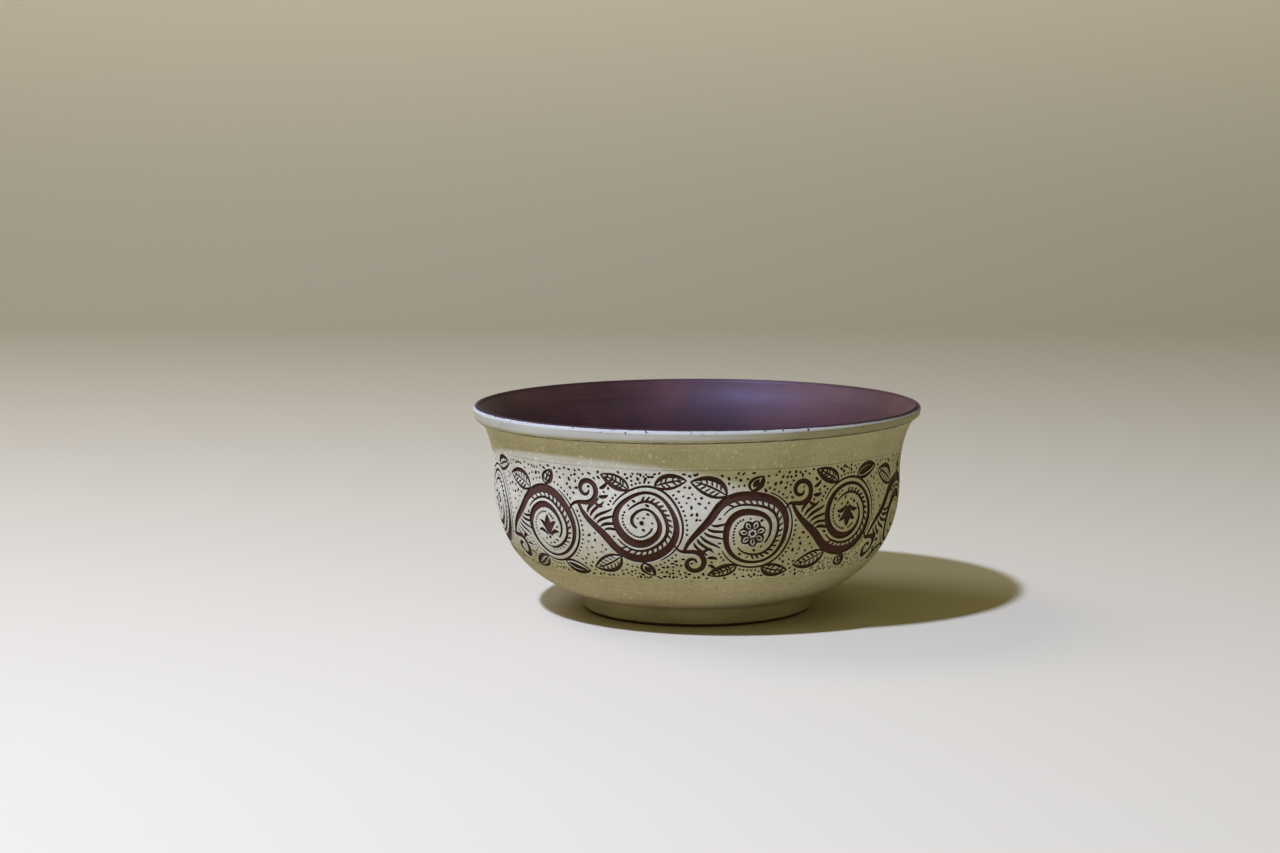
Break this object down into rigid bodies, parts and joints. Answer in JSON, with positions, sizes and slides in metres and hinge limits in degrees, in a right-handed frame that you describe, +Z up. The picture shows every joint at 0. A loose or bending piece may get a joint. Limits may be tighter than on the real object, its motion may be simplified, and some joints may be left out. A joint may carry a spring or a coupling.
{
  "type": "slip-decorated clay bowl",
  "caption": "Round flared table bowl of dark clay on a low foot ring, its outside coated in pale slip with a scroll frieze cut through to the clay; holds food.",
  "frame": {"origin": "centre of the plane that the foot ring stands on", "axes": "+Z up along the axis that the bowl was turned about; -Y faces the pictured side"},
  "size_m": [0.13, 0.13, 0.06],
  "materials": {
    "burnished_clay": "burnished satin",
    "foot_clay": "matte bare clay",
    "luting_slip": "matte dried slip",
    "lip_slip": "brushed matte slip",
    "neck_slip": "matte slip",
    "frieze_slip": "matte slip cut through to the clay",
    "belly_slip": "matte slip with turning marks",
    "foot_slip": "matte slip"
  },
  "bodies": {
    "root": {"clay_bowl": "burnished_clay", "foot_ring": "foot_clay", "foot_luting_seam": "luting_slip", "lip_slip_band": "lip_slip", "neck_slip_band": "neck_slip", "frieze_slip_band": "frieze_slip", "belly_slip_coat": "belly_slip", "foot_slip_coat": "foot_slip"}
  },
  "joints": []
}
